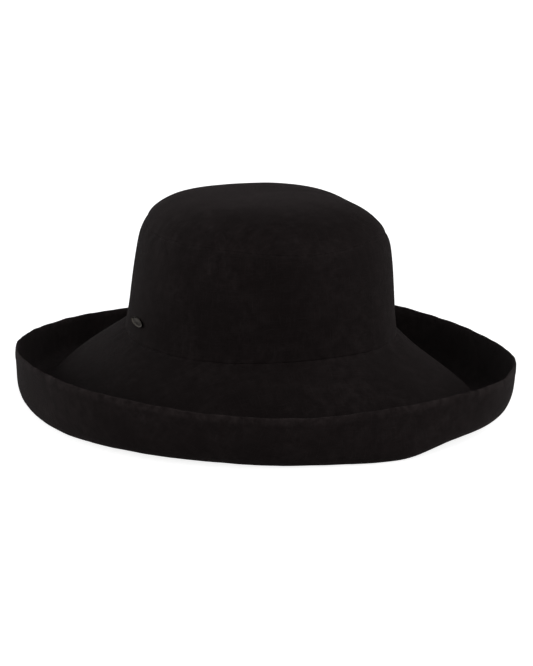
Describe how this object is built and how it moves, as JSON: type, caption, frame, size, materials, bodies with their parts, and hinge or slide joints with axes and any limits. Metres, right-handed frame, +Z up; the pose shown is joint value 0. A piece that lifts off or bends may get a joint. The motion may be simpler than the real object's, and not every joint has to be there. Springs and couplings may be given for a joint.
{
  "type": "wide-brim hat",
  "caption": "Soft cotton hat with a domed oval crown, a wide brim that slopes down and turns up along its edge, and a small plain oval badge.",
  "frame": {"origin": "on the table under the middle of the brim", "axes": "+Z up, the front of the hat towards -Y, the badge on the -X side"},
  "size_m": [0.3199, 0.3604, 0.139],
  "materials": {
    "crown_cloth": "matte black cotton weave",
    "brim_cloth": "matte black cotton weave, stiffened",
    "badge_metal": "dull aged metal"
  },
  "bodies": {
    "root": {"crown_tip": "crown_cloth", "crown_side": "crown_cloth", "brim": "brim_cloth", "badge": "badge_metal"}
  },
  "joints": []
}
